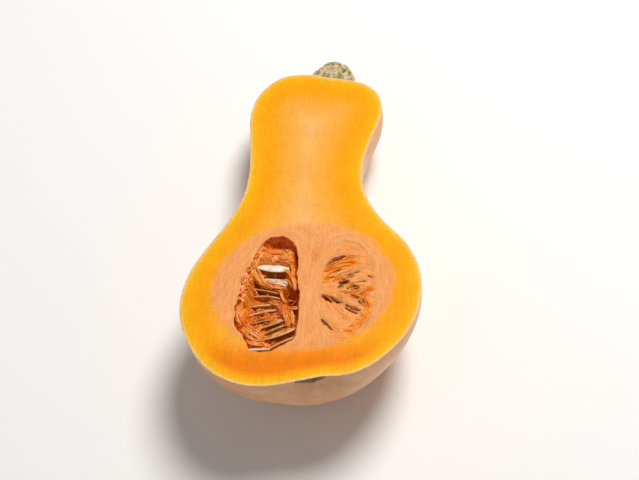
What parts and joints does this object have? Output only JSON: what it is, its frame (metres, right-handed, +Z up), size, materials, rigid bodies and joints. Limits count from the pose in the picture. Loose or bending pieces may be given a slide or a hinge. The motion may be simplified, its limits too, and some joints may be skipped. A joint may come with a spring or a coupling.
{
  "type": "butternut squash half",
  "caption": "Butternut squash cut in half lengthwise, lying on its rind: long neck, round bulb, seed chambers with stringy pulp and flat seeds, and a half stem.",
  "frame": {"origin": "centre of the ground footprint's bounding box, on the surface that the half lies on", "axes": "+Z up, +Y from the blossom end to the stem, +X across the cut face"},
  "size_m": [0.114, 0.1966, 0.0647],
  "materials": {
    "flesh": "moist, finely fibrous cut flesh under a smooth, waxy tan rind",
    "stem": "dry, ridged cork",
    "pulp": "wet, stringy",
    "seed": "satin husk, damp"
  },
  "bodies": {
    "root": {"flesh": "flesh", "stem": "stem", "pulp_left": "pulp", "pulp_right": "pulp", "seed_01": "seed", "seed_02": "seed", "seed_03": "seed", "seed_04": "seed", "seed_05": "seed", "seed_06": "seed", "seed_07": "seed", "seed_08": "seed", "seed_09": "seed", "seed_10": "seed", "seed_11": "seed", "seed_12": "seed", "seed_13": "seed", "seed_14": "seed", "seed_15": "seed", "seed_16": "seed", "seed_17": "seed", "seed_18": "seed", "seed_19": "seed", "seed_20": "seed"}
  },
  "joints": []
}
